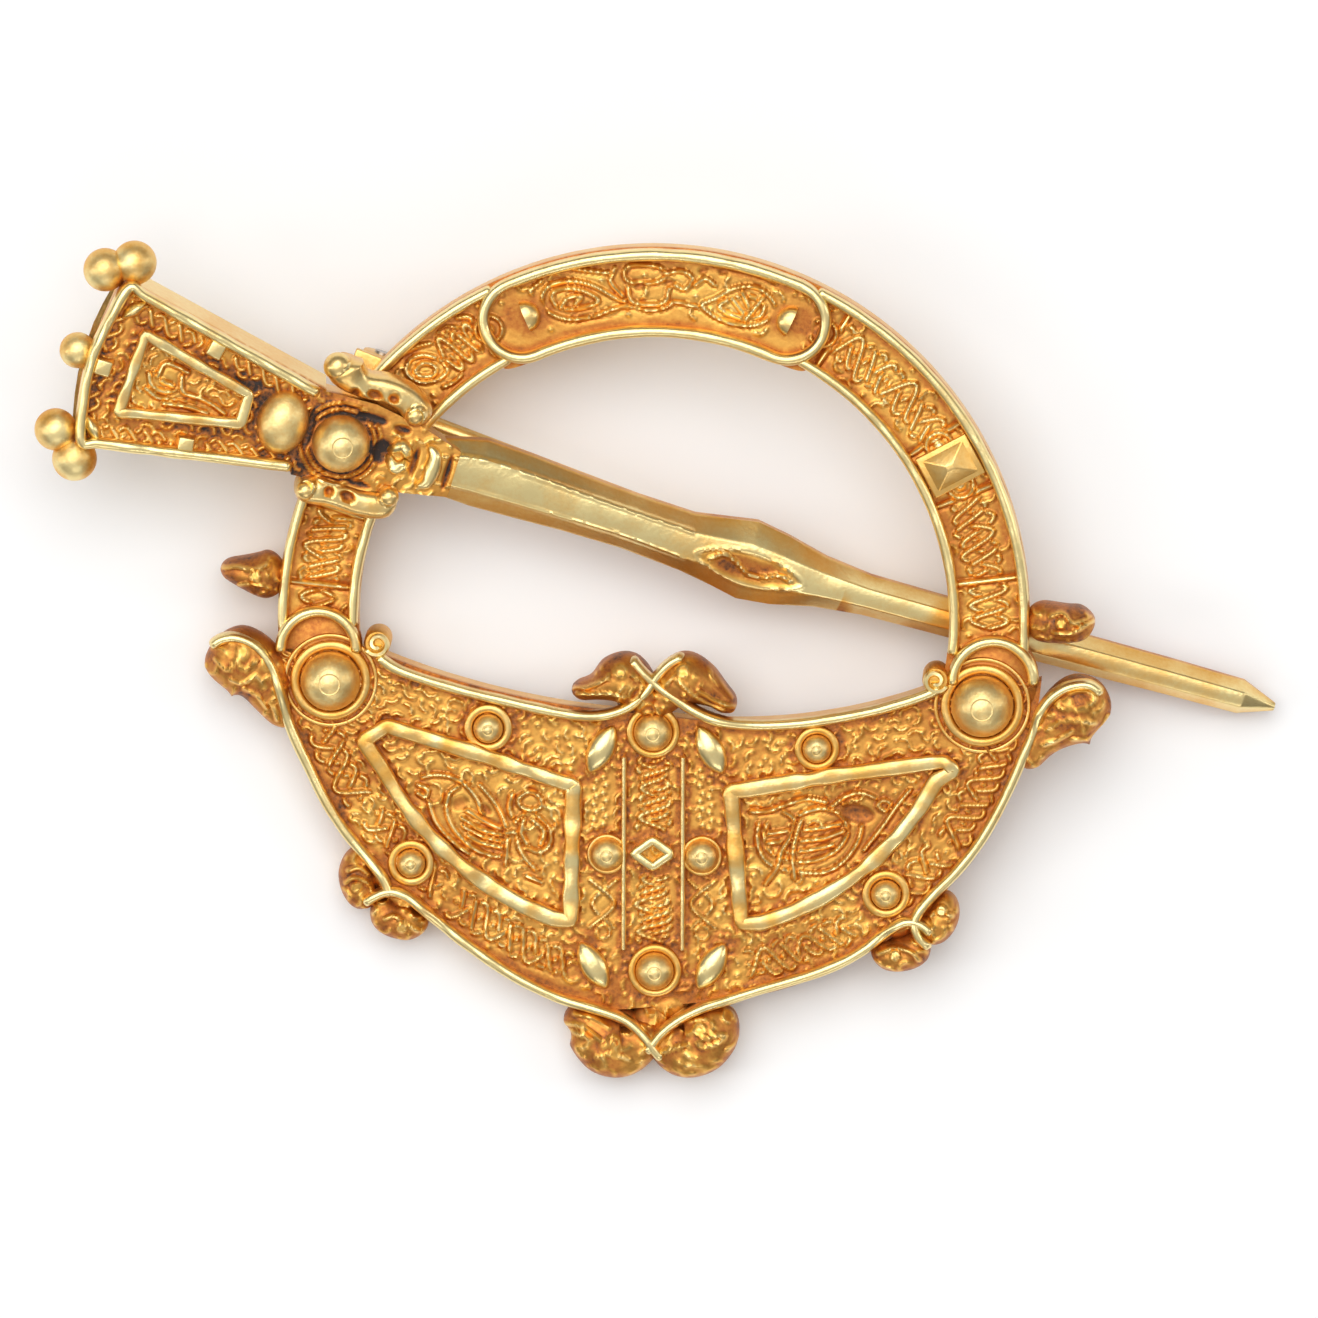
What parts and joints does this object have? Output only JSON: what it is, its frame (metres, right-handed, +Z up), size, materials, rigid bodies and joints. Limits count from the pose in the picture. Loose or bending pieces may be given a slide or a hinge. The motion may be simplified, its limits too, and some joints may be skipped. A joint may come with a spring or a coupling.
{
  "type": "penannular brooch",
  "caption": "Cast gold penannular style brooch: knotwork ring and crescent plate with dome studs, a long fixed ornamental pin in front and a hinged fastening stem behind.",
  "frame": {"origin": "centre of the bounding box in plan, at the surface the brooch lies on", "axes": "+X along the length, from the ornamental pin's head to its point; +Y towards the top of the ring; +Z up, out of the face. The ring's flat back leans about seven degrees, as the brooch rests on its hinge, its catch and one lug."},
  "size_m": [0.0518, 0.0346, 0.0074],
  "materials": {
    "gold": "cast yellow gold, polished on the raised edges, orange brown patina in the sunk ground",
    "gold_polished": "polished pale yellow gold",
    "gold_wire": "drawn gold wire, polished",
    "rivet_steel": "satin steel"
  },
  "bodies": {
    "brooch": {"frame": "gold", "long_pin": "gold", "neck_rivet": "gold_polished", "stud_big_left": "gold_polished", "stud_big_right": "gold_polished", "stud_top": "gold_polished", "stud_bottom": "gold_polished", "stud_inner_left": "gold_polished", "stud_inner_right": "gold_polished", "stud_upper_left": "gold_polished", "stud_upper_right": "gold_polished", "stud_lower_left": "gold_polished", "stud_lower_right": "gold_polished", "hinge_rivet": "rivet_steel"},
    "stem": {"pin_stem": "gold_wire"}
  },
  "joints": [
    {"name": "stem_hinge", "type": "hinge", "parent": "brooch", "child": "stem", "pos_m": [-0.01212, 0.01063, 0.00104], "axis": [0.3476, 0.9297, 0.1216], "range_deg": [0, 95]}
  ]
}
